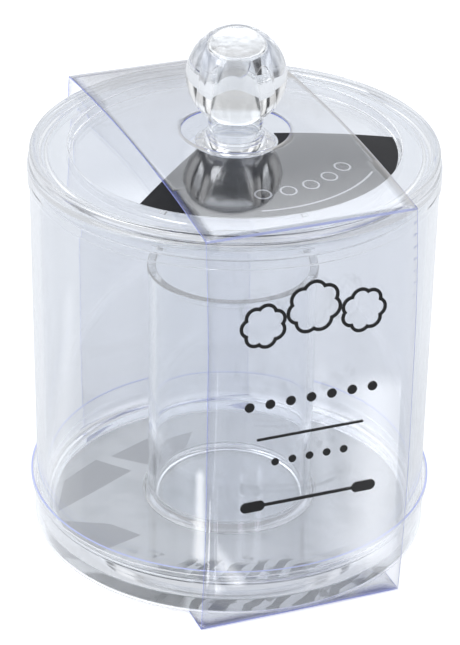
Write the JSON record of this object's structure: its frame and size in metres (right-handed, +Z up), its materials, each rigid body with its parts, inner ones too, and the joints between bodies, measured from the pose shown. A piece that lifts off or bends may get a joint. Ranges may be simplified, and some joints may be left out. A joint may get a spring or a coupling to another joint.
{
  "type": "cotton ball canister",
  "caption": "Clear round canister for cotton balls with a swab cup standing in its middle, a ball-knobbed lid, a thin tray and a clear film sleeve.",
  "frame": {"origin": "centre of the footprint, on the surface that the canister stands on", "axes": "+Z up along the jar's axis; -Y points out of the sleeve's front panel"},
  "size_m": [0.1018, 0.103, 0.1345],
  "materials": {
    "clear_plastic": "polished",
    "cup_plastic": "polished",
    "lid_plastic": "polished",
    "knob_plastic": "polished",
    "tray_film": "gloss",
    "sleeve_film": "gloss",
    "sleeve_strip_film": "gloss",
    "printed_card": "satin",
    "dark_card": "satin"
  },
  "bodies": {
    "jar": {"jar_body": "clear_plastic", "base_tray": "tray_film", "base_card": "printed_card", "wrap_bottom_panel": "sleeve_strip_film"},
    "cup": {"swab_cup": "cup_plastic"},
    "lid": {"lid": "lid_plastic", "lid_knob": "knob_plastic", "lid_card": "dark_card"},
    "wrap": {"wrap_band": "sleeve_film"}
  },
  "joints": [
    {"name": "lid_lift", "type": "slide", "parent": "jar", "child": "lid", "axis": [0, 0, 1], "range_m": [0, 0.08]},
    {"name": "wrap_lift", "type": "slide", "parent": "lid", "child": "wrap", "axis": [0, 0, 1], "range_m": [0, 0.14]},
    {"name": "swab_cup_lift", "type": "slide", "parent": "jar", "child": "cup", "axis": [0, 0, 1], "range_m": [0, 0.024]}
  ]
}
